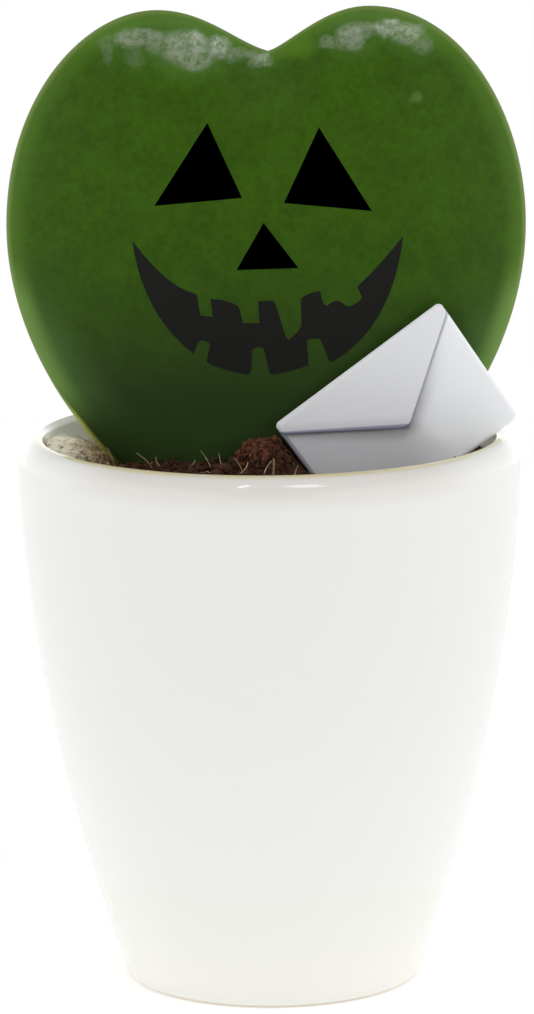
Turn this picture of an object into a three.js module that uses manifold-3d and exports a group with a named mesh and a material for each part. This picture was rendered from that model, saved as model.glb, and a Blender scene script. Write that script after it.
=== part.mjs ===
// A sweetheart hoya: one heart-shaped leaf, rooted in coir fibre, in a white glazed ceramic pot.
// A pumpkin face is printed on the leaf, and a small paper envelope is stuck in beside it.
// Lengths are millimetres. The origin is the middle of the pot's foot, +Z is up, -Y is the front.

import * as THREE from 'three';
import { mergeVertices } from 'three/addons/utils/BufferGeometryUtils.js';
import Module from 'manifold-3d';

const wasm = await Module();
wasm.setup();

// ---- Driving dimensions ----

const FIT_GAP = 0.3; // the clearance between pieces that only touch

const POT_HEIGHT = 76.9;
const RIM_RADIUS = 35;
const FOOT_RADIUS = 20.35;
const WALL_POWER = 1.86; // how the side flares: steep at the rim, sloping at the foot
const WALL = 3.7;
const LIP_OUTER_ROUND = 2.8;
const LIP_INNER_ROUND = 0.9;
const FOOT_ROUND = 1.2;
const FLOOR = 5;
const FLOOR_FILLET = 4;
const FOOT_RING_INNER = 16.5;
const FOOT_RECESS = 1;
const POT_SIDES = 48;

const SOIL_LEVEL = 73.2;
const SOIL_EDGE_DROP = 1.5; // the bed meets the wall this far below its level
const MOUND = { at: [-0.3, -5], height: 3.6, spread: [4.4, 4] }; // heaped up in front of the leaf
const RIGHT_HEAP = { at: [27, -4], height: 1, spread: [3, 4] };
const LONG_WAVES = { height: 0.5, x: 0.55, y: 0.48 }; // the bed's unevenness, in radians a millimetre
const SHORT_WAVES = { height: 0.3, x: 1.1, y: 0.7 };
const SOIL_SIDES = 36;
const SOIL_RINGS = 7;
const CHUNKS = 26; // the larger lumps of pith
const CHUNK_SIZE = [1.6, 2.6]; // half the length
const CRUMBS = 96;
const CRUMB_SIZE = [0.8, 1.5];
const FIBRES = 56;
const FIBRE_SPAN = [5, 13];
const FIBRE_RISE = [0.8, 1.9]; // how high the middle of the arch stands
const FIBRE_THICKNESS = 0.5;

const LEAF_BASE = 66; // the height of the leaf's own zero on the pot's axis
const LEAF_LEAN = THREE.MathUtils.degToRad(6); // the tip of each lobe leans back
const LEAF_CENTRE = 34; // up the leaf: where the rings of its surface close
const LEAF_FRONT = 2.6; // bulge ahead of the middle plane
const LEAF_BACK = 2.4;
const LEAF_EDGE_POWER = 6; // the pillow shape of the rim: flat inside, round at the edge
const LEAF_EDGE_CURL = 2; // how far the edge lies behind the middle plane
const NOTCH = [0.27, 63.7];
const LEAF_TIP = [0, -7];
const PETIOLE_RADIUS = 1.8;
const PETIOLE_END_RADIUS = 1.4;
const PETIOLE_LENGTH = 10;
const PETIOLE_ROOT = 3; // how far it runs up inside the blade
const LEAF_VALLEY = { depth: 1.2, halfWidth: 4, from: 50 }; // the crease that runs down from the notch
const LEAF_AROUND = 64;
const LEAF_ACROSS = 20;

// Each half of the heart: the top of its lobe, its widest point, and the pulls of its curves.
const LEAF_RIGHT = {
  side: 1, lobe: [14.25, 69.8], wide: [35.9, 39.8],
  notchPull: 3.15, lobeIn: 6.3, lobeOut: 12.6, shoulder: 15.5, flank: 20.8,
};
const LEAF_LEFT = {
  side: -1, lobe: [15.2, 69.45], wide: [36.3, 39.45],
  notchPull: 4.85, lobeIn: 6.8, lobeOut: 10, shoulder: 18.1, flank: 20,
};
const TIP_PULL = [19.5, 6];

const PRINT_THICKNESS = 0.4;
const PRINT_AROUND = 24; // the print follows the leaf's front in broader facets
const PRINT_ACROSS = 12;
const EYE_LEFT = [[-8.2, 53.85], [-15.6, 42.5], [-3.5, 43.5]];
const EYE_RIGHT = [[7.2, 53.1], [2.3, 42.75], [14.4, 41.55]];
const NOSE = [[-0.55, 40], [-4.35, 33.55], [4.2, 33.75]];

const CARD_WIDTH = 28.9;
const CARD_HEIGHT = 19.1;
const CARD_THICKNESS = 1;
const CARD_CORNER = 1.25;
const CARD_PLACE = [0.6, -2.7, 78.5]; // its top left corner
const CARD_TURN = THREE.MathUtils.degToRad(35.9); // the top edge rises to the right
const CARD_LEAN = THREE.MathUtils.degToRad(8);
const FLAP_THICKNESS = 0.6;
const FLAP_LIFT = THREE.MathUtils.degToRad(5); // the flap stands a little open
const FLAP_TIP = [15.2, 11.3];
const FLAP_TIP_ROUND = 1.4;
const FLAP_SHOULDER = 1; // how far down the sides the flap's fold reaches

const CERAMIC = new THREE.MeshStandardMaterial({ color: 0xf1f1ee, roughness: 0.15, metalness: 0 });
const COIR = new THREE.MeshStandardMaterial({ color: 0x6b4226, roughness: 0.95, metalness: 0 });
const LEAF_GREEN = new THREE.MeshStandardMaterial({ color: 0x2f5a17, roughness: 0.4, metalness: 0 });
const EYE_INK = new THREE.MeshStandardMaterial({ color: 0x050505, roughness: 0.5, metalness: 0 });
const MOUTH_INK = new THREE.MeshStandardMaterial({ color: 0x1f1e1e, roughness: 0.5, metalness: 0 });
const PAPER = new THREE.MeshStandardMaterial({ color: 0xe4e5ee, roughness: 0.7, metalness: 0 });

// ---- Joining and cutting ----

function solidOf(geometry) {
  const plain = geometry.clone();
  for (const name of ['normal', 'uv']) plain.deleteAttribute(name);
  const merged = mergeVertices(plain, 1e-4);
  return new wasm.Manifold(new wasm.Mesh({
    numProp: 3,
    vertProperties: merged.attributes.position.array,
    triVerts: new Uint32Array(merged.index.array),
  }));
}

function meshOf(solid, name, material) {
  const { vertProperties, triVerts } = solid.getMesh();
  const geometry = new THREE.BufferGeometry();
  geometry.setAttribute('position', new THREE.BufferAttribute(vertProperties, 3));
  geometry.setIndex(new THREE.BufferAttribute(triVerts, 1));
  return namedMesh(geometry, name, material);
}

function namedMesh(geometry, name, material) {
  const mesh = new THREE.Mesh(geometry, material);
  mesh.name = name;
  return mesh;
}

// What holds together as one body; crumbs and fibres that a cut sets loose are dropped.
function largestBody(solid) {
  const bodies = solid.decompose();
  return bodies.reduce((best, body) => (body.volume() > best.volume() ? body : best));
}

// A repeatable draw of numbers from 0 to 1.
function seededRandom(seed) {
  let state = seed;
  return () => {
    state = (state * 1664525 + 1013904223) % 4294967296;
    return state / 4294967296;
  };
}

// ---- Pot: thrown white stoneware with a rounded lip and a shallow foot ring ----

function outerRadius(z) {
  return RIM_RADIUS - (RIM_RADIUS - FOOT_RADIUS) * (1 - z / POT_HEIGHT) ** WALL_POWER;
}

function innerRadius(z) {
  return outerRadius(z) - WALL;
}

// Points of an arc in a profile; angles in degrees, anticlockwise from the outward direction.
function arcPoints(centreRadius, centreHeight, radius, from, to, steps) {
  const points = [];
  for (let i = 0; i <= steps; i += 1) {
    const angle = THREE.MathUtils.degToRad(from + ((to - from) * i) / steps);
    points.push(new THREE.Vector2(
      centreRadius + radius * Math.cos(angle),
      centreHeight + radius * Math.sin(angle),
    ));
  }
  return points;
}

function wallPoints(radiusAt, from, to, steps, moveIn = 0) {
  const points = [];
  for (let i = 0; i <= steps; i += 1) {
    const z = from + ((to - from) * i) / steps;
    points.push(new THREE.Vector2(radiusAt(z) - moveIn, z));
  }
  return points;
}

// Turns a profile of radius and height round the pot's axis.
function turned(profile, sides) {
  return new THREE.LatheGeometry(profile, sides).rotateX(Math.PI / 2);
}

function potGeometry() {
  const filletTop = FLOOR + FLOOR_FILLET;
  const filletCentre = innerRadius(filletTop) - FLOOR_FILLET;
  const lipCentre = RIM_RADIUS - LIP_OUTER_ROUND;
  const lipStart = POT_HEIGHT - LIP_OUTER_ROUND;
  const innerLipStart = POT_HEIGHT - LIP_INNER_ROUND;
  const footCentre = outerRadius(FOOT_ROUND) - FOOT_ROUND;
  return turned([
    new THREE.Vector2(0, FOOT_RECESS),
    new THREE.Vector2(FOOT_RING_INNER - FOOT_RECESS, FOOT_RECESS),
    new THREE.Vector2(FOOT_RING_INNER, 0),
    ...arcPoints(footCentre, FOOT_ROUND, FOOT_ROUND, -90, 0, 2),
    ...wallPoints(outerRadius, FOOT_ROUND + WALL, lipStart, 9),
    ...arcPoints(lipCentre, lipStart, LIP_OUTER_ROUND, 22, 90, 3),
    ...arcPoints(lipCentre, innerLipStart, LIP_INNER_ROUND, 120, 180, 2),
    ...wallPoints(innerRadius, innerLipStart - WALL, filletTop, 6),
    ...arcPoints(filletCentre, filletTop, FLOOR_FILLET, -30, -90, 2),
    new THREE.Vector2(0, FLOOR),
  ], POT_SIDES);
}

// ---- Leaf: one thick heart-shaped blade with its short stalk ----

// A closed loop of points up and across the leaf, from the notch round the left half
// to the tip and back up the right half.
function leafOutline(around) {
  const halves = [LEAF_LEFT, LEAF_RIGHT].map((half) => {
    const x = (value) => half.side * value;
    const path = new THREE.Path();
    path.moveTo(NOTCH[0], NOTCH[1]);
    path.bezierCurveTo(
      NOTCH[0] + x(0.9 * half.notchPull), NOTCH[1] + 0.25 * half.notchPull,
      x(half.lobe[0] - half.lobeIn), half.lobe[1],
      x(half.lobe[0]), half.lobe[1],
    );
    path.bezierCurveTo(
      x(half.lobe[0] + half.lobeOut), half.lobe[1],
      x(half.wide[0]), half.wide[1] + half.shoulder,
      x(half.wide[0]), half.wide[1],
    );
    path.bezierCurveTo(
      x(half.wide[0]), half.wide[1] - half.flank,
      x(TIP_PULL[0]), LEAF_TIP[1] + TIP_PULL[1],
      LEAF_TIP[0], LEAF_TIP[1],
    );
    return path.getSpacedPoints(around / 2);
  });
  const [left, right] = halves;
  return [...left.slice(0, -1), ...right.reverse().slice(0, -1)];
}

// A point of the leaf's own plane, lifted off it towards the front, in the pot's frame.
function onLeaf(across, up, lift) {
  return [
    across,
    up * Math.sin(LEAF_LEAN) - lift * Math.cos(LEAF_LEAN),
    LEAF_BASE + up * Math.cos(LEAF_LEAN) + lift * Math.sin(LEAF_LEAN),
  ];
}

// The crease is deepest at the notch and runs out smoothly below it.
function valley(across, up) {
  const start = THREE.MathUtils.smoothstep(up, LEAF_VALLEY.from, NOTCH[1]);
  return LEAF_VALLEY.depth * start * Math.exp(-((across / LEAF_VALLEY.halfWidth) ** 2));
}

// A ball whose equator is drawn out to the heart outline. Its two halves are the front
// and the back, and its rings shrink towards the leaf's centre. grow moves its surface out.
function leafBlade(grow, around = LEAF_AROUND, across = LEAF_ACROSS) {
  const outline = leafOutline(around);
  const geometry = new THREE.SphereGeometry(1, around, across);
  const position = geometry.attributes.position;
  const columns = around + 1;
  for (let i = 0; i < position.count; i += 1) {
    const rim = outline[(i % columns) % around];
    const polar = (Math.PI * Math.floor(i / columns)) / across;
    const spread = Math.sin(polar);
    const toRim = new THREE.Vector2(rim.x, rim.y - LEAF_CENTRE);
    toRim.setLength((toRim.length() + grow) * spread);
    const dome = Math.sqrt(Math.max(0, 1 - spread ** LEAF_EDGE_POWER));
    const [x, up] = [toRim.x, LEAF_CENTRE + toRim.y];
    const height = Math.cos(polar) > 0 ? LEAF_FRONT - valley(x, up) : -LEAF_BACK;
    const lift = dome * (height + Math.sign(height) * grow) - LEAF_EDGE_CURL * spread ** 3;
    position.setXYZ(i, ...onLeaf(x, up, lift));
  }
  return solidOf(geometry);
}

// Carries a shape drawn across, up and out of the leaf to the leaf's place.
function leafPlace(lift) {
  const place = new THREE.Matrix4().makeRotationX(Math.PI / 2 - LEAF_LEAN);
  return place.setPosition(...onLeaf(0, 0, lift));
}

function petiole(grow) {
  const length = PETIOLE_LENGTH + grow;
  const [top, end] = [PETIOLE_RADIUS + grow, PETIOLE_END_RADIUS + grow];
  const stalk = new THREE.CylinderGeometry(top, end, length, 12);
  stalk.translate(0, LEAF_TIP[1] + PETIOLE_ROOT - length / 2, 0);
  return solidOf(stalk.applyMatrix4(leafPlace(-LEAF_EDGE_CURL)));
}

function leafSolid(grow) {
  return leafBlade(grow).add(petiole(grow));
}

// ---- Print: flat black ink on the front of the leaf ----

function triangleShape(corners) {
  return new THREE.Shape(corners.map(([across, up]) => new THREE.Vector2(across, up)));
}

// A crescent grin. The teeth are left bare, three of them standing up from the lower edge.
function mouthShape() {
  const shape = new THREE.Shape();
  const line = (...corners) => corners.forEach(([across, up]) => shape.lineTo(across, up));
  shape.moveTo(-18.7, 37.7);
  shape.quadraticCurveTo(-13.9, 31.1, -9.9, 30.3);
  line([-9.4, 27.3], [-7.7, 27.1], [-8, 29.6]);
  shape.quadraticCurveTo(-5.6, 29.5, -4.1, 28.5);
  line([-3.5, 26.2], [-1.2, 26.2], [-1.4, 29.2], [0.6, 29.3], [1, 28.8]);
  line([2.6, 23.8], [4.6, 25.7], [4.5, 29.6]);
  shape.quadraticCurveTo(5.8, 30.5, 7.2, 30.5);
  line([7.8, 28.5], [9.6, 29.2], [11, 28.3], [12.9, 29.5], [12.3, 31.1]);
  shape.quadraticCurveTo(15.4, 33.9, 18.7, 38);
  shape.quadraticCurveTo(17.1, 25.3, 8.5, 20.7);
  line([7.1, 23.9], [5.3, 23.8], [5.5, 20.3]);
  shape.quadraticCurveTo(3.1, 19.4, 0.3, 19.1);
  line([-0.7, 22.8], [-2.2, 22.8], [-2.5, 19.1]);
  shape.quadraticCurveTo(-5.9, 19.5, -8.5, 20.6);
  line([-8.1, 23.8], [-9.5, 23.9], [-10.4, 22]);
  shape.quadraticCurveTo(-17.4, 27.6, -18.7, 37.7);
  return shape;
}

// A film that follows the front of the leaf: the outline run through a thin layer of it.
function printSolid(shape, layer) {
  const depth = 2 * LEAF_FRONT;
  const column = new THREE.ExtrudeGeometry(shape, { depth, bevelEnabled: false, curveSegments: 6 });
  return solidOf(column.applyMatrix4(leafPlace(0))).intersect(layer);
}

// ---- Envelope: one folded sheet, a pocket closed by a round-tipped flap ----

function roundedRectangle(grow) {
  const [left, right, top, bottom] = [-grow, CARD_WIDTH + grow, grow, -CARD_HEIGHT - grow];
  const r = CARD_CORNER;
  const shape = new THREE.Shape();
  shape.absarc(right - r, top - r, r, 0, Math.PI / 2);
  shape.absarc(left + r, top - r, r, Math.PI / 2, Math.PI);
  shape.absarc(left + r, bottom + r, r, Math.PI, 1.5 * Math.PI);
  shape.absarc(right - r, bottom + r, r, 1.5 * Math.PI, 2 * Math.PI);
  return shape;
}

function flapShape(grow) {
  const inset = CARD_CORNER / 2 - grow;
  const tip = FLAP_TIP[1] + grow;
  const r = FLAP_TIP_ROUND + grow;
  const lean = Math.atan2(tip - FLAP_SHOULDER, CARD_WIDTH / 2);
  const shape = new THREE.Shape();
  shape.moveTo(CARD_WIDTH - inset, grow);
  shape.lineTo(inset, grow);
  shape.lineTo(inset / 2, -FLAP_SHOULDER);
  shape.absarc(FLAP_TIP[0], r - tip, r, 1.5 * Math.PI - lean, 1.5 * Math.PI + lean);
  shape.lineTo(CARD_WIDTH - inset / 2, -FLAP_SHOULDER);
  return shape;
}

function envelopeSolid(grow) {
  const depth = CARD_THICKNESS + 2 * grow;
  const pocket = new THREE.ExtrudeGeometry(roundedRectangle(grow), {
    depth, bevelEnabled: false, curveSegments: 3,
  });
  pocket.translate(0, 0, -CARD_THICKNESS / 2 - grow);
  const flapDepth = FLAP_THICKNESS + 2 * grow;
  const flap = new THREE.ExtrudeGeometry(flapShape(grow), {
    depth: flapDepth, bevelEnabled: false, curveSegments: 6,
  });
  flap.translate(0, 0, -grow).rotateX(-FLAP_LIFT);
  flap.translate(0, 0, CARD_THICKNESS / 2 - FLAP_THICKNESS / 2);
  const place = new THREE.Matrix4().makeTranslation(...CARD_PLACE);
  place.multiply(new THREE.Matrix4().makeRotationX(Math.PI / 2 - CARD_LEAN));
  place.multiply(new THREE.Matrix4().makeRotationZ(CARD_TURN));
  return solidOf(pocket.applyMatrix4(place)).add(solidOf(flap.applyMatrix4(place)));
}

// ---- Coir: a bed of brown fibre that fills the pot, with crumbs and fibres on top ----

// A soft heap on the bed: its height falls away round its middle.
function heap(x, y, { at, height, spread }) {
  return height * Math.exp(-(((x - at[0]) / spread[0]) ** 2 + ((y - at[1]) / spread[1]) ** 2) / 2);
}

function soilHeight(x, y) {
  const long = LONG_WAVES.height * Math.sin(LONG_WAVES.x * x + 1) * Math.cos(LONG_WAVES.y * y);
  const short = SHORT_WAVES.height * Math.sin(SHORT_WAVES.x * x - SHORT_WAVES.y * y);
  return SOIL_LEVEL + heap(x, y, MOUND) + heap(x, y, RIGHT_HEAP) + long + short;
}

function coirBed() {
  const bottom = FLOOR + FIT_GAP;
  const filletTop = FLOOR + FLOOR_FILLET;
  const filletCentre = innerRadius(filletTop) - FLOOR_FILLET;
  const edge = SOIL_LEVEL - SOIL_EDGE_DROP;
  const topRadius = innerRadius(edge) - FIT_GAP;
  const rings = [];
  for (let ring = SOIL_RINGS; ring > 0; ring -= 1) {
    rings.push(new THREE.Vector2((topRadius * ring) / SOIL_RINGS, SOIL_LEVEL));
  }
  const geometry = turned([
    new THREE.Vector2(0, bottom),
    ...arcPoints(filletCentre, filletTop, FLOOR_FILLET - FIT_GAP, -90, 0, 2),
    ...wallPoints(innerRadius, filletTop + 3 * WALL, edge, 4, FIT_GAP),
    ...rings,
    new THREE.Vector2(0, SOIL_LEVEL),
  ], SOIL_SIDES);
  const position = geometry.attributes.position;
  for (let i = 0; i < position.count; i += 1) {
    if (position.getZ(i) < SOIL_LEVEL - 0.01) continue;
    position.setZ(i, soilHeight(position.getX(i), position.getY(i)));
  }
  return solidOf(geometry);
}

function placeInPot(random, margin) {
  const reach = innerRadius(SOIL_LEVEL) - FIT_GAP - margin;
  const radius = reach * Math.sqrt(random());
  const angle = 2 * Math.PI * random();
  return [radius * Math.cos(angle), radius * Math.sin(angle)];
}

// A lump of pith: a squashed and turned ball of few faces, sunk to its middle.
function lumpOfPith(lump, sizes, random) {
  const size = THREE.MathUtils.lerp(...sizes, random());
  const [x, y] = placeInPot(random, size);
  lump.scale(size, size * (0.5 + 0.4 * random()), size * (0.4 + 0.3 * random()));
  lump.rotateX(0.5 * random()).rotateY(0.5 * random()).rotateZ(2 * Math.PI * random());
  return solidOf(lump.translate(x, y, soilHeight(x, y) + 0.1 * size));
}

// A bent three-sided fibre that leaves the bed, arches over it and dips back in.
function fibre(random) {
  const span = THREE.MathUtils.lerp(...FIBRE_SPAN, random());
  const [x, y] = placeInPot(random, span / 2 + 1);
  const heading = 2 * Math.PI * random();
  const bow = span * (random() - 0.5) * 0.5;
  const rise = THREE.MathUtils.lerp(...FIBRE_RISE, random());
  const sunk = 0.8;
  const along = new THREE.Vector2(Math.cos(heading), Math.sin(heading));
  const stations = [-0.5, -0.2, 0.2, 0.5].map((t) => {
    const arch = 1 - 4 * t * t;
    const px = x + along.x * span * t - along.y * bow * arch;
    const py = y + along.y * span * t + along.x * bow * arch;
    return new THREE.Vector3(px, py, soilHeight(px, py) - sunk + (rise + sunk) * arch);
  });
  const section = new THREE.Shape([0, 1, 2].map((corner) => {
    const angle = (2 * Math.PI * corner) / 3;
    return new THREE.Vector2(Math.cos(angle), Math.sin(angle)).multiplyScalar(FIBRE_THICKNESS / Math.sqrt(3));
  }));
  const route = new THREE.CatmullRomCurve3(stations);
  return solidOf(new THREE.ExtrudeGeometry(section, { steps: 3, extrudePath: route, curveSegments: 1 }));
}

function soilSolid(slots) {
  const random = seededRandom(20);
  const pieces = [coirBed()];
  for (let i = 0; i < CHUNKS; i += 1) {
    pieces.push(lumpOfPith(new THREE.IcosahedronGeometry(1, 0), CHUNK_SIZE, random));
  }
  for (let i = 0; i < CRUMBS; i += 1) {
    pieces.push(lumpOfPith(new THREE.OctahedronGeometry(1, 0), CRUMB_SIZE, random));
  }
  for (let i = 0; i < FIBRES; i += 1) pieces.push(fibre(random));
  return largestBody(wasm.Manifold.union(pieces).subtract(slots));
}

// ---- The plant ----

const leafHole = leafSolid(FIT_GAP);
const envelopeHole = envelopeSolid(FIT_GAP);
const inkOuter = leafBlade(FIT_GAP + PRINT_THICKNESS, PRINT_AROUND, PRINT_ACROSS);
const inkLayer = inkOuter.subtract(leafBlade(FIT_GAP, PRINT_AROUND, PRINT_ACROSS));

const plant = new THREE.Group();
plant.add(namedMesh(potGeometry(), 'pot', CERAMIC));
plant.add(meshOf(soilSolid(leafHole.add(envelopeHole)), 'coir_soil', COIR));
plant.add(meshOf(leafSolid(0), 'leaf', LEAF_GREEN));
plant.add(meshOf(printSolid(triangleShape(EYE_LEFT), inkLayer), 'print_eye_left', EYE_INK));
plant.add(meshOf(printSolid(triangleShape(EYE_RIGHT), inkLayer), 'print_eye_right', EYE_INK));
plant.add(meshOf(printSolid(triangleShape(NOSE), inkLayer), 'print_nose', EYE_INK));
plant.add(meshOf(printSolid(mouthShape(), inkLayer), 'print_mouth', MOUTH_INK));
plant.add(meshOf(envelopeSolid(0), 'envelope', PAPER));

export default plant;
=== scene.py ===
# A sweetheart hoya: one heart-shaped leaf in coir, in a white glazed pot, with a pumpkin face
# printed on the leaf and a small paper envelope beside it. Sizes are millimetres until a mesh
# is made, and colours are screen values from 0 to 255 until a finish takes them.

import math

import bmesh
import bpy
import numpy as np
from mathutils import Matrix, Vector
from mathutils.geometry import delaunay_2d_cdt


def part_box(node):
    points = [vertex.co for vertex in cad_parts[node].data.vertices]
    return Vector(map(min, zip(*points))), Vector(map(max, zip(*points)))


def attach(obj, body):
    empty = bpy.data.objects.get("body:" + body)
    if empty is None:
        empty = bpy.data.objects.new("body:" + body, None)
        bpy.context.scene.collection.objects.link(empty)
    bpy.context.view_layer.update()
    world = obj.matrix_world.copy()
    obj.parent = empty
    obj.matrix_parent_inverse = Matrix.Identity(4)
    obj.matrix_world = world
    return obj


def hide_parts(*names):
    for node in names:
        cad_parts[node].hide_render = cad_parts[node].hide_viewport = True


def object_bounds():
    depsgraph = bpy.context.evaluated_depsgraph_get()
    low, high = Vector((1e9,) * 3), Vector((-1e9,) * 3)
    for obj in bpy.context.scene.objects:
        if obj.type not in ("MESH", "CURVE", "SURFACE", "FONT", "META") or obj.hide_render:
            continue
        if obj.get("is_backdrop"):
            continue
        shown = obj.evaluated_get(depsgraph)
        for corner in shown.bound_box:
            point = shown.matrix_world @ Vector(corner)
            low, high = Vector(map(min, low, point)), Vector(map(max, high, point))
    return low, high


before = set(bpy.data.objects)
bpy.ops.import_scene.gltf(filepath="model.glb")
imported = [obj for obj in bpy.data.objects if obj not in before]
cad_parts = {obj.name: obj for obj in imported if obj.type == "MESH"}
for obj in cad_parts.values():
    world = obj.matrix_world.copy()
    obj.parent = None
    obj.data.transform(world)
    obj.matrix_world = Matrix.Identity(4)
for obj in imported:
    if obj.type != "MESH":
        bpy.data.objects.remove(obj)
cad_low, cad_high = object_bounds()

# ---- Camera ----
# The photograph's view: straight ahead of the printed face and a little above the rim,
# through a long lens, with the horizon half a degree off level. The sensor's longer side
# spans the photograph's height.

MM = 0.001
CAMERA_DISTANCE = 744.4
CAMERA_RISE = math.radians(10.9)
CAMERA_AIM = Vector((-0.42, 0, 66.44))
CAMERA_ROLL = math.radians(-0.5)
PHOTO_HEIGHT = 1014
FOCAL_LENGTH_PIXELS = 5349
SENSOR = 36

scene = bpy.context.scene
scene.view_settings.view_transform = "Standard"
camera_data = bpy.data.cameras.new("camera")
camera_data.sensor_width = SENSOR
camera_data.lens = FOCAL_LENGTH_PIXELS / PHOTO_HEIGHT * SENSOR
camera_data.clip_start = 0.01
camera = bpy.data.objects.new("camera", camera_data)
camera_back = Vector((0, -math.cos(CAMERA_RISE), math.sin(CAMERA_RISE)))
camera.location = (CAMERA_AIM + camera_back * CAMERA_DISTANCE) * MM
camera_turn = (-camera_back).to_track_quat("-Z", "Y").to_matrix()
camera_turn = camera_turn @ Matrix.Rotation(CAMERA_ROLL, 3, "Z")
camera.rotation_euler = camera_turn.to_euler()
scene.collection.objects.link(camera)
scene.camera = camera


# ---- Studio ----
# A white tent: bright low down at the sides and behind, softer overhead and dim round the
# camera, with two small lamps high up in front and a lit white floor.

class Value:
    """One value of a finish. Arithmetic on it adds Math nodes to the finish."""

    def __init__(self, finish, socket):
        self.finish = finish
        self.socket = socket

    def maths(self, operation, *others):
        return self.finish.maths(operation, self, *others)

    def __add__(self, other):
        return self.maths("ADD", other)

    __radd__ = __add__

    def __sub__(self, other):
        return self.maths("SUBTRACT", other)

    def __rsub__(self, other):
        return self.finish.maths("SUBTRACT", other, self)

    def __mul__(self, other):
        return self.maths("MULTIPLY", other)

    __rmul__ = __mul__

    def __truediv__(self, other):
        return self.maths("DIVIDE", other)

    def __pow__(self, other):
        return self.maths("POWER", other)

    def eased(self, low, high):
        """0 below low, 1 above high, and a smooth step between; low may be the larger."""
        settings = {"interpolation_type": "SMOOTHSTEP"}
        sockets = {"Value": self, "From Min": low, "From Max": high}
        return self.finish.node("ShaderNodeMapRange", settings, sockets)


class Finish:
    """A material or world in the making. node() makes every node in it."""

    def __init__(self, owner):
        owner.use_nodes = True
        self.owner = owner
        self.tree = owner.node_tree
        self.tree.nodes.clear()

    def node(self, kind, settings=None, sockets=None, output=0):
        """A node of a type, with its settings, then its sockets' numbers or values."""
        made = self.tree.nodes.new(kind)
        for key, setting in (settings or {}).items():
            setattr(made, key, setting)
        for key, value in (sockets or {}).items():
            if isinstance(value, Value):
                self.tree.links.new(value.socket, made.inputs[key])
            else:
                made.inputs[key].default_value = value
        return Value(self, made.outputs[output]) if made.outputs else None

    def maths(self, operation, *values):
        return self.node("ShaderNodeMath", {"operation": operation}, dict(enumerate(values)))

    def mixed(self, first, second, share):
        """The first colour, with the second in its place where share is 1."""
        sockets = {0: share, 6: first, 7: second}
        return self.node("ShaderNodeMix", {"data_type": "RGBA"}, sockets, 2)

    def place(self):
        return self.node("ShaderNodeTexCoord", output=3)

    def axes(self, vector):
        return [self.node("ShaderNodeSeparateXYZ", {}, {0: vector}, i) for i in range(3)]

    def noise(self, size, detail, roughness=0.5, twist=0.0):
        """Cloudy noise from 0 to 1 whose lumps are about size millimetres across."""
        sockets = {"Vector": self.place(), "Scale": 1 / (size * MM), "Detail": detail,
                   "Roughness": roughness, "Distortion": twist}
        return self.node("ShaderNodeTexNoise", {}, sockets)

    def bump(self, height, depth, under=None):
        """A normal for relief: height runs from 0 to 1, and depth is its real height."""
        sockets = {"Height": height, "Distance": depth * MM}
        if under:
            sockets["Normal"] = under
        return self.node("ShaderNodeBump", {}, sockets)

    def shader(self, **sockets):
        """A principled shader. Names use _ where its sockets use a space."""
        named = {key.replace("_", " "): value for key, value in sockets.items()}
        return self.node("ShaderNodeBsdfPrincipled", {}, named)

    def ended(self, shader):
        """The finished material."""
        self.node("ShaderNodeOutputMaterial", {}, {0: shader})
        return self.owner

    def surface(self, **sockets):
        return self.ended(self.shader(**sockets))


def paint(red, green, blue):
    """A screen colour as the linear colour that a shader takes."""
    return (*(((np.array((red, green, blue)) / 255 + 0.055) / 1.055) ** 2.4).tolist(), 1.0)


WHITE = (1.0, 1.0, 1.0, 1.0)
BLACK = (0.0, 0.0, 0.0, 1.0)

# How bright each part of the tent is.
SIDES = 1.5
SIDES_HIGH = 0.2
CAMERA_SIDE = 0.1
REAR_MIDDLE = 1.85
REAR_CORNERS = 1.35
REAR_HIGH = 1.0
OVERHEAD = 0.8

tent = Finish(bpy.data.worlds.new("white_tent"))
right, ahead, above = tent.axes(tent.node("ShaderNodeTexCoord", output=0))
rear = ahead.eased(-0.1, 0.3)
aside = right.maths("ABSOLUTE")
low_sides = SIDES * aside.eased(0.15, 0.55) * above.eased(0.75, 0.35)
high_sides = SIDES_HIGH * aside.eased(0.05, 0.3)
high_sides = high_sides * above.eased(0.35, 0.75) * above.eased(0.98, 0.85)
by_the_camera = CAMERA_SIDE * aside.eased(0.5, 0.2) * above.eased(0.45, 0.2)
low_rear = REAR_MIDDLE + (REAR_CORNERS - REAR_MIDDLE) * aside.eased(0.3, 0.7)
low_rear = low_rear * above.eased(0.6, 0.1)
high_rear = REAR_HIGH * aside.eased(0.15, 0.45) * above.eased(0.9, 0.6) * above.eased(0.1, 0.6)
brightness = (low_sides + high_sides + by_the_camera) * (1 - rear)
brightness = brightness + (low_rear + high_rear) * rear
brightness = brightness + OVERHEAD * above.eased(0.8, 0.95)
lit = tent.node("ShaderNodeBackground", {}, {"Color": WHITE, "Strength": brightness})
seen = tent.node("ShaderNodeBackground", {}, {"Color": WHITE, "Strength": 1.0})
by_camera = tent.node("ShaderNodeLightPath", output=0)
both = tent.node("ShaderNodeMixShader", {}, {0: by_camera, 1: lit, 2: seen})
tent.node("ShaderNodeOutputWorld", {}, {0: both})
scene.world = tent.owner


def soft_box(name, at, size, power, aim=(0, 0, 90)):
    """A flat rectangular light, in millimetres, that faces a point of the object."""
    data = bpy.data.lights.new(name, "AREA")
    data.shape = "RECTANGLE"
    data.size, data.size_y = size[0] * MM, size[1] * MM
    data.energy = power
    light = bpy.data.objects.new(name, data)
    light.location = Vector(at) * MM
    light.rotation_euler = (Vector(aim) - Vector(at)).to_track_quat("-Z", "Y").to_euler()
    scene.collection.objects.link(light)


soft_box("left_overhead_lamp", (-148, -444, 900), (30, 250), 0.42)
soft_box("right_overhead_lamp", (190, -444, 900), (190, 250), 1.15)

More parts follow.
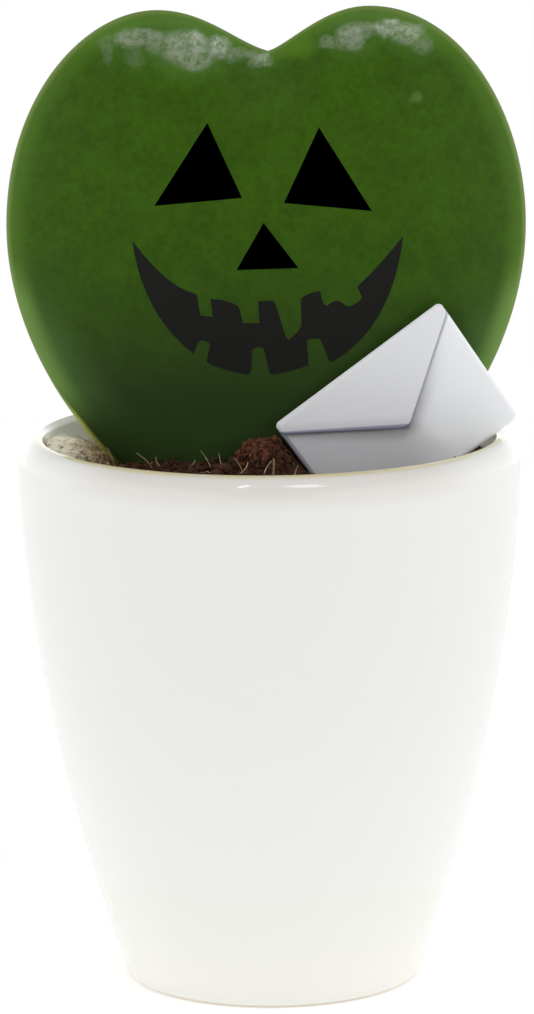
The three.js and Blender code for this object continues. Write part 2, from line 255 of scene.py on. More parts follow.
FLOOR_RADIUS = 450
FLOOR_SIDES = 96
FLOOR_WHITE = (0.9, 0.9, 0.9, 1.0)
FLOOR_GLOW = 0.34


def mesh_piece(name, points, *faces, finish):
    """A mesh object from points in millimetres and arrays of triangles or quads."""
    mesh = bpy.data.meshes.new(name)
    corners = np.concatenate([group.ravel() for group in faces]).astype(np.int32)
    sizes = np.concatenate([np.full(len(group), group.shape[1]) for group in faces])
    sizes = sizes.astype(np.int32)
    mesh.vertices.add(len(points))
    mesh.vertices.foreach_set("co", (np.asarray(points) * MM).astype(np.float32).ravel())
    mesh.loops.add(len(corners))
    mesh.loops.foreach_set("vertex_index", corners)
    mesh.polygons.add(len(sizes))
    mesh.polygons.foreach_set("loop_start", (np.cumsum(sizes) - sizes).astype(np.int32))
    mesh.polygons.foreach_set("loop_total", sizes)
    mesh.update(calc_edges=True)
    mesh.validate()
    mesh.shade_smooth()
    mesh.materials.append(finish)
    piece = bpy.data.objects.new(name, mesh)
    scene.collection.objects.link(piece)
    return piece


def net(rows, columns):
    """Quads of a grid of rows and columns whose last column joins its first."""
    low = np.arange((rows - 1) * columns)
    right = low // columns * columns + (low + 1) % columns
    return np.stack([low, right, right + columns, low + columns], axis=1)


def fan(ring, pole):
    """Triangles that close a ring of point numbers onto one pole."""
    return np.stack([ring, np.roll(ring, -1), np.full(len(ring), pole)], axis=1)


def turned(profile, sides):
    """Points and faces of a solid of revolution.

    A point of the profile is a radius and a height, and its ring is the radius times the
    cosine and sine of each angle. The profile's two ends are poles.
    """
    angle = 2 * np.pi * np.arange(sides) / sides
    profile = np.asarray(profile, float)
    radius, height = profile[1:-1, 0, None], profile[1:-1, 1, None]
    rings = np.stack([radius * np.cos(angle), radius * np.sin(angle), height + 0 * angle], axis=2)
    count = len(rings) * sides
    poles = [[0, 0, profile[0, 1]], [0, 0, profile[-1, 1]]]
    points = np.concatenate([rings.reshape(-1, 3), poles])
    first = np.arange(sides)
    last = first + count - sides
    return points, net(len(rings), sides), fan(first[::-1], count), fan(last, count + 1)


floor_angle = np.linspace(0, 2 * np.pi, FLOOR_SIDES, endpoint=False)
floor_x, floor_y = FLOOR_RADIUS * np.cos(floor_angle), FLOOR_RADIUS * np.sin(floor_angle)
floor_points = np.stack([floor_x, floor_y, 0 * floor_angle], axis=1)
floor_finish = Finish(bpy.data.materials.new("floor")).surface(
    Base_Color=FLOOR_WHITE, Roughness=0.9, Specular_IOR_Level=0.0,
    Emission_Color=WHITE, Emission_Strength=FLOOR_GLOW)
floor = mesh_piece("floor", np.concatenate([floor_points, [[0, 0, 0]]]),
                   fan(np.arange(FLOOR_SIDES), FLOOR_SIDES), finish=floor_finish)
floor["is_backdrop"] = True


# ---- Pot ----
# Slip-cast stoneware under a glossy white glaze. The lip is rounded, and the glaze thins to a
# fine ochre line on its inner edge. The foot ring is wiped bare to stand on.

POT_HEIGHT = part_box("pot")[1].z / MM
RIM_RADIUS = 35.0
FOOT_RADIUS = 20.35
WALL_POWER = 1.86
WALL = 3.7
LIP_OUTER_ROUND = 2.8
LIP_INNER_ROUND = 0.9
FOOT_ROUND = 1.2
POT_FLOOR = 5.0
FLOOR_FILLET = 4.0
FOOT_RING_INNER = 16.5
FOOT_RING_ROUND = 0.4
FOOT_RECESS = 1.0
BEND_GAP = 0.8  # left free between a straight run and a rounding
POT_SIDES = 288

GLAZE_WHITE = paint(234, 235, 231)
GLAZE_INSIDE_LIT = paint(255, 255, 249)
GLAZE_FOOT = paint(239, 239, 235)
GLAZE_LIP_SHADE = paint(227, 222, 218)
GLAZE_CREAM = paint(242, 239, 227)
GLAZE_OCHRE = paint(228, 214, 158)
BARE_CLAY = paint(214, 205, 188)
SPECK_BROWN = paint(120, 105, 90)

# Where the glaze changes, in metres: not at all at the first, and fully at the second.
LIP_FRONT = (-0.012, -0.028)
OCHRE_RISE = (0.0755, 0.0761)
OCHRE_FRONT = (0.006, -0.01)
LIP_SHADE_RISE = (0.0715, 0.075)
LIP_SHADE_FRONT = (-0.018, -0.029)
CREAM_FALL = (0.02, 0.0)
FOOT_FALL = (0.06, 0.0)
LIT_INSIDE_RISE = (0.06, 0.068)
BARE_FALL = (0.0006, 0.0002)


def outer_radius(height):
    """The side of the pot: the rim's radius less a power of the distance below the rim."""
    return RIM_RADIUS - (RIM_RADIUS - FOOT_RADIUS) * (1 - height / POT_HEIGHT) ** WALL_POWER


def arc(centre, radius, start, end, steps):
    """Profile points round a centre (radius, height), at angles in degrees from outwards."""
    angle = np.radians(np.linspace(start, end, steps))
    return np.stack([centre[0] + radius * np.cos(angle),
                     centre[1] + radius * np.sin(angle)], axis=1)


def wall(start, end, steps, inwards):
    """Profile points of the side between two heights, moved inwards."""
    height = np.linspace(start, end, steps)
    return np.stack([outer_radius(height) - inwards, height], axis=1)


def straight(start, end, steps):
    """Profile points of a straight run."""
    return np.linspace(start, end, steps)


fillet_top = POT_FLOOR + FLOOR_FILLET
fillet_centre = outer_radius(fillet_top) - WALL - FLOOR_FILLET
lip_centre = RIM_RADIUS - LIP_OUTER_ROUND
foot_centre = outer_radius(FOOT_ROUND) - FOOT_ROUND
recess_radius = FOOT_RING_INNER - 1.5 * FOOT_RECESS
ring_centre = FOOT_RING_INNER - 0.5 * FOOT_RECESS + FOOT_RING_ROUND
pot_profile = np.concatenate([
    straight((0, FOOT_RECESS), (recess_radius, FOOT_RECESS), 8),
    arc((recess_radius, FOOT_RECESS / 2), FOOT_RECESS / 2, 80, 0, 5),
    arc((ring_centre, FOOT_RING_ROUND), FOOT_RING_ROUND, 180, 270, 6)[1:],
    straight((FOOT_RING_INNER + FOOT_RING_ROUND, 0), (foot_centre, 0), 5),
    arc((foot_centre, FOOT_ROUND), FOOT_ROUND, -90, 0, 9)[1:],
    wall(FOOT_ROUND + BEND_GAP, POT_HEIGHT - LIP_OUTER_ROUND - BEND_GAP, 72, 0),
    arc((lip_centre, POT_HEIGHT - LIP_OUTER_ROUND), LIP_OUTER_ROUND, 0, 90, 22),
    arc((lip_centre, POT_HEIGHT - LIP_INNER_ROUND), LIP_INNER_ROUND, 90, 180, 10)[1:],
    wall(POT_HEIGHT - LIP_INNER_ROUND - BEND_GAP, fillet_top, 40, WALL),
    arc((fillet_centre, fillet_top), FLOOR_FILLET, -4, -90, 8),
    straight((fillet_centre - 1, POT_FLOOR), (0, POT_FLOOR), 6),
])

glaze = Finish(bpy.data.materials.new("white_glaze"))
x, y, z = glaze.axes(glaze.place())
radius = (x * x + y * y) ** 0.5
at_front = y.eased(*LIP_FRONT)
ochre = (radius / MM).eased(32.9 + 0.8 * at_front, 32.6 + 0.2 * at_front)
ochre = ochre * z.eased(*OCHRE_RISE) * y.eased(*OCHRE_FRONT)
ochre = ochre * (0.6 + 0.4 * glaze.noise(3, 3).eased(0.3, 0.6))
# Painted shade, a little pinkish, on the front of the lip, where the leaf stands behind it.
lip_shade = z.eased(*LIP_SHADE_RISE) * y.eased(*LIP_SHADE_FRONT)
cloud = glaze.noise(18, 3)
cream = z.eased(*CREAM_FALL) * 0.25 + cloud * 0.1
# Painted light: the inside of the wall near the rim is painted paler.
inside = (radius / MM).eased(32.5, 31.5) * z.eased(*LIT_INSIDE_RISE)
speck_cells = glaze.node("ShaderNodeTexVoronoi", {"feature": "F1"}, {"Scale": 1 / (5.5 * MM)})
speck_pick = glaze.noise(9, 0).eased(0.62, 0.66)
speck = speck_cells.eased(0.032, 0.022) * speck_pick
bare = z.eased(*BARE_FALL)
colour = glaze.mixed(GLAZE_WHITE, GLAZE_FOOT, z.eased(*FOOT_FALL))
colour = glaze.mixed(colour, GLAZE_CREAM, cream)
colour = glaze.mixed(colour, GLAZE_INSIDE_LIT, inside)
colour = glaze.mixed(colour, GLAZE_LIP_SHADE, lip_shade)
colour = glaze.mixed(colour, GLAZE_OCHRE, ochre * 0.8)
colour = glaze.mixed(colour, SPECK_BROWN, speck * 0.6)
colour = glaze.mixed(colour, BARE_CLAY, bare)
ripple = glaze.bump(glaze.noise(7, 2), 0.02)
pot = mesh_piece("pot_glazed", *turned(pot_profile, POT_SIDES), finish=glaze.surface(
    Base_Color=colour, Roughness=0.06 + 0.6 * bare + 0.04 * cloud, Normal=ripple, IOR=1.4))
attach(pot, "root")
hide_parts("pot")


# ---- Coir bed ----
# Damp coconut fibre pressed into the pot, dark brown and uneven, a little below the rim. It
# is heaped up in front of the leaf, and dry and dusty where it reaches the rim at the left
# wall. It is hollow before the envelope.

FIT_GAP = 0.3
SOIL_LEVEL = 72.6
SOIL_EDGE = 71.4
# Each heap: its middle, its height, and its half width and half depth. The last is a hollow.
HEAPS = [
    ((-1.2, -4.4), 3.3, (3.2, 3.4)),
    ((2.4, -2.8), 1.9, (2.2, 1.6)),
    ((-24.4, -1.5), 1.2, (2.6, 4.0)),
    ((-30.0, 3.0), 2.9, (4.6, 11.0)),
    ((28.0, -3.0), 1.0, (3.0, 3.6)),
    ((14.5, -14.0), -2.3, (13.0, 13.0)),
]
SOIL_SIDES = 300
SOIL_RINGS = 110
COIR_DARK = paint(42, 29, 21)
COIR_BROWN = paint(92, 62, 44)
COIR_RED = paint(118, 73, 50)
COIR_PALE = paint(210, 188, 146)
COIR_DUST = paint(252, 249, 230)
STRAW = paint(152, 132, 98)
DUST_MIDDLE = (-29, 7)
DUST_SPREAD = (8.0, 16)

# Where the coir's colour changes, in metres: not at all at the first, and fully at the second.
RED_RISE = (0.0742, 0.0755)
WALL_LEFT = (-0.0235, -0.029)
WALL_BACK = (-0.009, -0.002)


def uneven(points, size, seed):
    """Smooth random numbers from -1 to 1: a lattice of draws, size apart, each eased into the
    next by 3 t squared less 2 t cubed."""
    draws = np.random.default_rng(seed).uniform(-1, 1, (32, 32, 32))
    cell = np.asarray(points) / size
    low = np.floor(cell).astype(int)
    part = cell - low
    part = part * part * (3 - 2 * part)
    total = 0
    for corner in np.ndindex(2, 2, 2):
        share = np.prod(np.where(corner, part, 1 - part), axis=-1)
        total = total + share * draws[tuple(np.moveaxis((low + corner) % 32, -1, 0))]
    return total


def flat_noise(x, y, size, seed):
    """The same numbers over a plane."""
    return uneven(np.stack([x, y, 0 * x], axis=-1), size, seed)


def soil_height(x, y):
    """The bed's level, its flat-topped heaps, its lumps and its grains. A heap is its height
    times e to the minus fourth power of the distance from its middle."""
    total = SOIL_LEVEL + 0.3 * flat_noise(x, y, 6.0, 2) + 0.3 * flat_noise(x, y, 2.4, 3)
    for (at_x, at_y), height, (wide, deep) in HEAPS:
        off = ((x - at_x) / wide) ** 2 + ((y - at_y) / deep) ** 2
        total = total + height * np.exp(-(off**2))
    return total + 0.3 * np.abs(flat_noise(x, y, 1.2, 4)) + 0.14 * flat_noise(x, y, 0.5, 5)


soil_reach = outer_radius(SOIL_EDGE) - WALL - FIT_GAP
bed_profile = np.concatenate([
    [(0, POT_FLOOR + FIT_GAP)],
    arc((fillet_centre, fillet_top), FLOOR_FILLET - FIT_GAP, -90, -4, 6),
    wall(fillet_top + WALL, SOIL_EDGE, 12, WALL + FIT_GAP),
    straight((soil_reach, SOIL_LEVEL), (0, SOIL_LEVEL), SOIL_RINGS),
])
bed_points, *bed_faces = turned(bed_profile, SOIL_SIDES)
on_top = bed_points[:, 2] > SOIL_EDGE + 0.01
bed_points[on_top, 2] = soil_height(bed_points[on_top, 0], bed_points[on_top, 1])


def coir_finish(name, dark, light, size, relief=0.2):
    """Matt plant fibre: two browns in cloudy lumps, redder on the heap before the leaf, and
    pale with dust at the left wall."""
    coir = Finish(bpy.data.materials.new(name))
    x, y, z = coir.axes(coir.place())
    shade = coir.noise(size, 4, roughness=0.65).eased(0.38, 0.68)
    colour = coir.mixed(dark, light, shade)
    on_heap = z.eased(*RED_RISE) * coir.noise(1.4, 2).eased(0.3, 0.6)
    colour = coir.mixed(colour, COIR_RED, on_heap * shade * 0.8)
    dust_x = (x / MM - DUST_MIDDLE[0]) / DUST_SPREAD[0]
    dust_y = (y / MM - DUST_MIDDLE[1]) / DUST_SPREAD[1]
    from_wall = (dust_x**2 + dust_y**2) ** 0.5 + 0.8 * (coir.noise(2.0, 3) - 0.5)
    flecked = coir.noise(1.1, 4, roughness=0.65)
    dusty = from_wall.eased(1.1, 0.6) * flecked.eased(0.3, 0.56)
    colour = coir.mixed(colour, COIR_PALE, dusty * 0.9)
    by_wall = x.eased(*WALL_LEFT) * y.eased(*WALL_BACK) * flecked.eased(0.24, 0.5)
    colour = coir.mixed(colour, COIR_DUST, by_wall * 0.85)
    bumps = coir.bump(coir.noise(size / 4, 4), relief)
    return coir.surface(Base_Color=colour, Roughness=0.9, Normal=bumps, Specular_IOR_Level=0.15)


coir_bed = mesh_piece("coir_bed", bed_points, *bed_faces,
                      finish=coir_finish("coir_bed", COIR_DARK, COIR_BROWN, 1.8))
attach(coir_bed, "root")
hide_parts("coir_soil")


# ---- Coir crumbs ----
# Loose crumbs and chips of the same coir on top of the bed, some redder and a few pale. None
# lies in the hollow before the envelope.

HOLLOW = (15, -14)
HOLLOW_RADIUS = 12.5
DENTS = 0.42


def ball(splits):
    """Points and triangles of a unit ball."""
    shell = bmesh.new()
    bmesh.ops.create_icosphere(shell, subdivisions=splits, radius=1)
    points = np.array([tuple(corner.co) for corner in shell.verts])
    faces = np.array([[corner.index for corner in face.verts] for face in shell.faces])
    shell.free()
    return points, faces


def repeated(faces, count, step):
    """The same faces for each of count shapes that have step points each."""
    return (faces + step * np.arange(count)[:, None, None]).reshape(-1, faces.shape[1])


def crumbs(name, count, size, splits, seed, finish, at=(0, 0), reach=28.5):
    """Crumbs on the bed: balls that are stretched, turned and dented at random and half sunk.
    A point moves out by 1 plus the dents times a smooth random number."""
    draw = np.random.default_rng(seed)
    unit, faces = ball(splits)
    angle = draw.uniform(0, 2 * np.pi, count)
    out = reach * np.sqrt(draw.uniform(0, 1, count))
    x, y = at[0] + out * np.cos(angle), at[1] + out * np.sin(angle)
    x = np.where(np.hypot(x - HOLLOW[0], y - HOLLOW[1]) < HOLLOW_RADIUS, -x, x)
    radius = size[0] / 2 + (size[1] - size[0]) / 2 * draw.uniform(0, 1, count) ** 2
    stretch = radius[:, None] * draw.uniform(0.55, 1.2, (count, 3))
    turns = np.linalg.qr(draw.normal(size=(count, 3, 3)))[0]
    turns[np.linalg.det(turns) < 0] *= -1
    points = np.einsum("nij,nkj->nki", turns, unit[None] * stretch[:, None])
    apart = 7 * draw.uniform(0, 9, (count, 1, 3))
    dented = uneven(points + apart, radius[:, None, None] * 0.7, seed)
    points = points * (1 + DENTS * dented[..., None])
    middle = np.stack([x, y, soil_height(x, y) + 0.15 * radius], axis=1)
    points = (points + middle[:, None]).reshape(-1, 3)
    piece = mesh_piece(name, points, repeated(faces, count, len(unit)), finish=finish)
    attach(piece, "root")


crumbs("coir_lumps", 190, (1.0, 2.4), 2, 21,
       coir_finish("coir_lumps", COIR_DARK, COIR_BROWN, 1.4))
crumbs("coir_crumbs", 1500, (0.35, 1.0), 1, 22,
       coir_finish("coir_crumbs", COIR_DARK, COIR_BROWN, 0.9))
crumbs("coir_heap_crumbs", 120, (0.4, 1.7), 2, 23,
       coir_finish("coir_heap", COIR_DARK, COIR_RED, 1.0), (-1.2, -5.0), 3.1)
crumbs("coir_chunks", 6, (1.5, 2.5), 3, 29,
       coir_finish("coir_chunk", COIR_DARK, COIR_RED, 0.7, 0.3), (-1.7, -5.6), 1.6)
crumbs("coir_pale_crumbs", 60, (0.4, 1.0), 2, 24,
       coir_finish("coir_pale", COIR_BROWN, COIR_PALE, 0.8), (-23.5, -6.5), 4.2)


# ---- Coir fibres ----
# Single fibres out of the coir: brown ones that lie over the bed, and straw-coloured ones
# that stick up, the clearest of them in front of the foot of the leaf.

BED_REACH = 28.5
ROOTED = 0.3


def strands(name, paths, thickness, finish, sides=4):
    """Fibres as small closed tubes: a ring of points round each step of each path, in a frame
    of two sides square to the path, narrowing to a point at both ends."""
    count, steps, _ = paths.shape
    ahead = np.gradient(paths, axis=1)
    ahead = ahead / np.linalg.norm(ahead, axis=2, keepdims=True)
    across = np.cross(ahead, (0.36, 0.48, 0.8))
    across = across / np.linalg.norm(across, axis=2, keepdims=True)
    above = np.cross(ahead, across)
    angle = 2 * np.pi * np.arange(sides) / sides
    narrow = np.sin(np.pi * np.linspace(0.12, 0.9, steps)) ** 0.4
    radius = thickness[:, None, None, None] / 2 * narrow[None, :, None, None]
    rings = paths[:, :, None] + radius * (across[:, :, None] * np.cos(angle)[:, None]
                                          + above[:, :, None] * np.sin(angle)[:, None])
    points = np.concatenate([rings.reshape(count, -1, 3), paths[:, :1], paths[:, -1:]], axis=1)
    size = steps * sides
    first = np.arange(sides)
    last = first + (steps - 1) * sides
    parts = (net(steps, sides), fan(first[::-1], size), fan(last, size + 1))
    faces = [repeated(part, count, size + 2) for part in parts]
    piece = mesh_piece(name, points.reshape(-1, 3), *faces, finish=finish)
    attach(piece, "root")


def lying(count, length, rise, seed, at=(0, 0), reach=27.0, steps=9):
    """Paths that wander over the bed, each lifted off it a little in its middle."""
    draw = np.random.default_rng(seed)
    angle = draw.uniform(0, 2 * np.pi, count)
    out = reach * np.sqrt(draw.uniform(0, 1, count))
    heading = draw.uniform(0, 2 * np.pi, count)
    bend = draw.uniform(-0.25, 0.25, count)
    step = draw.uniform(*length, count) / (steps - 1)
    turn = heading[:, None] + bend[:, None] * np.arange(steps)
    x = at[0] + (out * np.cos(angle))[:, None] + np.cumsum(step[:, None] * np.cos(turn), axis=1)
    y = at[1] + (out * np.sin(angle))[:, None] + np.cumsum(step[:, None] * np.sin(turn), axis=1)
    shrink = np.minimum(1, BED_REACH / np.hypot(x, y))
    x, y = x * shrink, y * shrink
    lift = 0.12 + draw.uniform(*rise, count)[:, None] * np.sin(np.pi * np.linspace(0, 1, steps))
    return np.stack([x, y, soil_height(x, y) + lift], axis=2)


# Each standing fibre: where it leaves the bed, how far its tip leans to the right, how high
# the tip is, its sideways bow and its thickness.
STANDING = [
    (-16.1, -4.5, -2.3, 75.2, 0.4, 0.17), (-14.6, -4.6, -1.1, 74.6, -0.3, 0.13),
    (0.45, -9.6, 0.1, 75.0, 0.05, 0.34), (-0.9, -9.2, 1.15, 74.6, -0.15, 0.2),
    (-4.9, -8.6, 1.9, 74.3, 0.5, 0.18), (-3.6, -8.9, -1.2, 75.1, 0.25, 0.15),
    (-7.9, -4.5, -1.6, 75.4, 0.2, 0.19), (-6.7, -4.6, -0.35, 75.0, 0.1, 0.17),
    (-24.0, -5.5, 0.9, 75.6, 0.3, 0.14), (-21.4, -4.6, -1.0, 75.9, 0.3, 0.15),
    (3.4, -9.0, 0.5, 73.9, -0.2, 0.16), (-11.6, -4.2, 1.3, 73.9, 0.3, 0.13),
]
x, y, lean, top, bow, thickness = np.array(STANDING).T
t = np.linspace(0, 1, 9)
foot = soil_height(x, y) - ROOTED
standing = np.stack([x[:, None] + lean[:, None] * t + bow[:, None] * np.sin(np.pi * t),
                     y[:, None] + 0.3 * lean[:, None] * t,
                     foot[:, None] + (top - foot)[:, None] * t], axis=2)
thin = np.random.default_rng(31)
brown_fibre = coir_finish("brown_fibre", COIR_DARK, COIR_RED, 1.2, 0.02)
straw_fibre = coir_finish("straw_fibre", STRAW, COIR_PALE, 1.5, 0.02)
strands("coir_fibres_brown", lying(420, (3.0, 8.0), (0.1, 0.7), 32),
        thin.uniform(0.1, 0.24, 420), brown_fibre)
strands("coir_fibres_heap", lying(70, (1.2, 3.4), (0.2, 0.9), 34, (-1.2, -5.0), 3.2),
        thin.uniform(0.1, 0.24, 70), brown_fibre)
strands("coir_fibres_straw", lying(30, (1.6, 4.5), (0.2, 0.9), 36),
        thin.uniform(0.09, 0.16, 30), straw_fibre)
strands("coir_fibres_standing", standing, thickness, straw_fibre)


# ---- Leaf ----
# One thick waxy hoya leaf, its stalk and narrow end in the coir. It is cushioned like a pillow
# and creased below the notch, and grows paler to its edge. Its wax shines in patches on both
# lobes, painted paler there as highlights; its colour also holds painted shade and light low
# down, and painted light and sheen at its edges.

LEAF_BASE = 66.0
LEAF_LEAN = math.radians(6)
LEAF_CENTRE = 34.0
LEAF_FRONT = 2.6
LEAF_BACK = 2.4
LEAF_EDGE_POWER = 6
LEAF_EDGE_CURL = 2.0
NOTCH = np.array((0.27, 63.7))
LEAF_TIP = np.array((0.0, -7.0))
TIP_PULL = np.array((19.5, 6.0))
LEAF_RIGHT = {"side": 1, "lobe": (14.25, 69.8), "wide": (35.9, 39.8), "notch_pull": 3.15,
              "lobe_in": 6.3, "lobe_out": 12.6, "shoulder": 15.5, "flank": 20.8}
LEAF_LEFT = {"side": -1, "lobe": (15.2, 69.45), "wide": (36.3, 39.45), "notch_pull": 4.85,
             "lobe_in": 6.8, "lobe_out": 10.0, "shoulder": 18.1, "flank": 20.0}
VALLEY = {"depth": 1.2, "half_width": 4.0, "start": 50.0}
STALK_RADIUS = 1.8
STALK_END_RADIUS = 1.4
STALK_LENGTH = 10.0
STALK_END = -14.0
STALK_ROUND = 0.3
STALK_SIDES = 24
LEAF_AROUND = 560
LEAF_ACROSS = 128


def bezier(start, pull_out, pull_in, end, steps=80):
    """Points of a cubic curve between two ends, drawn towards its two pulls.

    With u = 1 - t: u^3 start + 3 t u^2 pull_out + 3 t^2 u pull_in + t^3 end.
    """
    t = np.linspace(0, 1, steps)[:, None]
    ends = (1 - t) ** 3 * np.asarray(start) + t**3 * np.asarray(end)
    pulls = 3 * t * (1 - t) ** 2 * np.asarray(pull_out) + 3 * t**2 * (1 - t) * np.asarray(pull_in)
    return ends + pulls


def half_heart(side, lobe, wide, notch_pull, lobe_in, lobe_out, shoulder, flank):
    """One side of the leaf's outline: notch to lobe, lobe to widest point, and on to the tip."""
    lobe = np.array((side * lobe[0], lobe[1]))
    wide = np.array((side * wide[0], wide[1]))
    to_lobe = bezier(NOTCH, NOTCH + (side * 0.9 * notch_pull, 0.25 * notch_pull),
                     lobe - (side * lobe_in, 0), lobe)
    to_wide = bezier(lobe, lobe + (side * lobe_out, 0), wide + (0, shoulder), wide)
    to_tip = bezier(wide, wide - (0, flank), LEAF_TIP + TIP_PULL * (side, 1), LEAF_TIP)
    return np.concatenate([to_lobe[:-1], to_wide[:-1], to_tip])


def evenly(path, count):
    """The same closed path as count points at equal distances."""
    path = np.concatenate([path, path[:1]])
    run = np.concatenate([[0], np.cumsum(np.linalg.norm(np.diff(path, axis=0), axis=1))])
    at = np.linspace(0, run[-1], count, endpoint=False)
    return np.stack([np.interp(at, run, path[:, i]) for i in (0, 1)], axis=1)


both_halves = np.concatenate([half_heart(**LEAF_LEFT)[:-1], half_heart(**LEAF_RIGHT)[:0:-1]])
heart = evenly(both_halves, LEAF_AROUND)
heart_angle = np.unwrap(np.arctan2(heart[:, 1] - LEAF_CENTRE, heart[:, 0]))
heart_reach = np.hypot(heart[:, 0], heart[:, 1] - LEAF_CENTRE)


def leaf_spread(across, up):
    """How far out a point of the leaf lies: 0 at its centre and 1 on its edge."""
    angle = np.arctan2(up - LEAF_CENTRE, across)
    reach = np.interp(angle, heart_angle, heart_reach, period=2 * np.pi)
    return np.hypot(across, up - LEAF_CENTRE) / reach


def leaf_lift(across, up, spread, front):
    """How far the surface stands off the leaf's middle plane, ahead of it or behind it.

    A dome, the root of 1 - spread^6, that is flat inside and round at the edge, less the
    edge's curl by spread^3. On it lie the crease below the notch, the skin's faint waves and
    the fine folds of the lobes, and on the back a midrib.
    """
    dome = np.sqrt(np.clip(1 - spread**LEAF_EDGE_POWER, 0, 1))
    start = np.clip((up - VALLEY["start"]) / (NOTCH[1] - VALLEY["start"]), 0, 1)
    crease = VALLEY["depth"] * start**2 * (3 - 2 * start)
    crease = crease * np.exp(-((across / VALLEY["half_width"]) ** 2))
    skin = 0.10 * flat_noise(across, up, 8.5, 11) + 0.03 * flat_noise(across, up, 3.1, 12)
    drift = 1.3 * flat_noise(across, up, 2.6, 13)
    folds = 1 - 2.5 * np.abs(flat_noise(across + drift, up - drift, 1.5, 14))
    skin = skin + 0.045 * folds * np.clip((up - 57) / 6, 0, 1)
    rib = 0.5 * np.exp(-((across / 1.3) ** 2)) * np.clip(1 - up / 60, 0, 1) ** 0.5
    if front:
        return dome * (LEAF_FRONT - crease + skin) - LEAF_EDGE_CURL * spread**3
    return -dome * (LEAF_BACK + rib - 0.25 * crease + 0.6 * skin) - LEAF_EDGE_CURL * spread**3


def on_leaf(across, up, lift):
    """A point across and up the leaf, lifted towards its front, in the pot's frame."""
    sine, cosine = math.sin(LEAF_LEAN), math.cos(LEAF_LEAN)
    return np.stack([across, up * sine - lift * cosine,
                     LEAF_BASE + up * cosine + lift * sine], axis=-1)


# The rings run from the front's centre out over the edge to the back's centre.
polar = np.linspace(0, np.pi, LEAF_ACROSS + 1)[1:-1, None]
ring_across = np.sin(polar) * heart[:, 0]
ring_up = LEAF_CENTRE + np.sin(polar) * (heart[:, 1] - LEAF_CENTRE)
ring_spread = np.broadcast_to(np.sin(polar), ring_across.shape)
ring_lift = np.where(polar < np.pi / 2,
                     leaf_lift(ring_across, ring_up, ring_spread, True),
                     leaf_lift(ring_across, ring_up, ring_spread, False))
middle = np.array((0.0,)), np.array((LEAF_CENTRE,)), np.array((0.0,))
leaf_points = np.concatenate([
    on_leaf(ring_across, ring_up, ring_lift).reshape(-1, 3),
    on_leaf(middle[0], middle[1], leaf_lift(*middle, True)),
    on_leaf(middle[0], middle[1], leaf_lift(*middle, False)),
])
ring_count = LEAF_ACROSS - 1
first_ring = np.arange(LEAF_AROUND)
last_ring = first_ring + (ring_count - 1) * LEAF_AROUND
poles = ring_count * LEAF_AROUND
leaf_faces = (net(ring_count, LEAF_AROUND), fan(first_ring[::-1], poles),
              fan(last_ring, poles + 1))

LEAF_GREEN = paint(58, 93, 13)
LEAF_DEEP = paint(43, 73, 9)
LEAF_LOW_SHADE = paint(41, 59, 25)
LEAF_EDGE = paint(81, 118, 36)
LEAF_EDGE_LIT_LOW = paint(103, 136, 65)
LEAF_SHEEN = paint(93, 136, 66)
LEAF_YOUNG = paint(88, 128, 28)
LEAF_MARGIN = paint(112, 134, 70)
LEAF_MARGIN_LIT_LOW = paint(186, 192, 96)
LEAF_UNDER = paint(90, 116, 58)
LEAF_UNDER_DEEP = paint(66, 92, 42)
LEAF_STREAK = paint(112, 138, 76)
LEAF_FOOT_LIT = paint(54, 78, 34)
LEAF_HIGHLIGHT = paint(150, 156, 130)
SCAR = (20.6, LEAF_BASE + 57.1)
YOUNG_MIDDLE = (3.9, 129.9)
YOUNG_SPREAD = (3.6, 1.9)

# Heights where the leaf's colour changes, in metres: not at all at the first, and fully at the
# second.
SHADE_LOW_HALF = (0.106, 0.076)
LOW_THIRD = (0.102, 0.094)
LIT_FOOT_END = (0.084, 0.074)
LIT_TOP_RIM = (0.128, 0.132)
SHEEN_OFF_FOOT = (0.077, 0.084)
SHEEN_OFF_TOP = (0.1, 0.088)
EDGE_OFF_FOOT = (0.077, 0.085)
MARGIN_LIT_LOW = (0.0825, 0.0785)
MARGIN_THIN_TOP = (0.09, 0.083)
MARGIN_THIN_FOOT = (0.0785, 0.082)

# Each glossy patch of the lobes, painted paler as a highlight: its middle, its half width and
# height, and how far it shines.
WAX = [
    ((-18.0, 131.2), (3.4, 1.3), 0.8), ((-22.0, 129.6), (0.9, 1.8), 0.25),
    ((-18.2, 128.7), (1.6, 1.3), 0.25), ((-15.0, 130.7), (1.8, 1.5), 0.65),
    ((-11.2, 129.8), (3.2, 2.2), 1.0), ((-10.0, 128.6), (2.6, 1.6), 0.9),
    ((-6.6, 129.8), (1.6, 1.6), 0.85), ((-3.6, 128.8), (2.4, 0.9), 0.4),
    ((-0.8, 128.0), (1.8, 1.0), 0.5), ((8.9, 130.6), (1.3, 0.9), 0.42),
    ((11.8, 131.2), (2.1, 1.7), 0.75), ((14.0, 132.2), (1.7, 1.0), 0.5),
    ((16.8, 132.4), (2.3, 1.1), 0.8), ((19.6, 131.4), (2.2, 1.5), 0.7),
    ((21.6, 129.9), (1.5, 1.3), 0.35),
]

skin = Finish(bpy.data.materials.new("leaf_skin"))
x, y, z = skin.axes(skin.place())
x_mm, z_mm = x / MM, z / MM
spread = skin.node("ShaderNodeAttribute", {"attribute_name": "spread"}, output=2)
back = skin.node("ShaderNodeAttribute", {"attribute_name": "back"}, output=2)
mottle = skin.noise(4, 4, roughness=0.65)
deep = 0.4 * mottle.eased(0.35, 0.65) + 0.35 * skin.noise(0.9, 3).eased(0.35, 0.65)
colour = skin.mixed(LEAF_GREEN, LEAF_DEEP, deep)
# Painted shade: darker over the lower half.
colour = skin.mixed(colour, LEAF_LOW_SHADE, z.eased(*SHADE_LOW_HALF))
# Painted light: a little lighter again at the foot.
colour = skin.mixed(colour, LEAF_FOOT_LIT, z.eased(*LIT_FOOT_END) * 0.5)

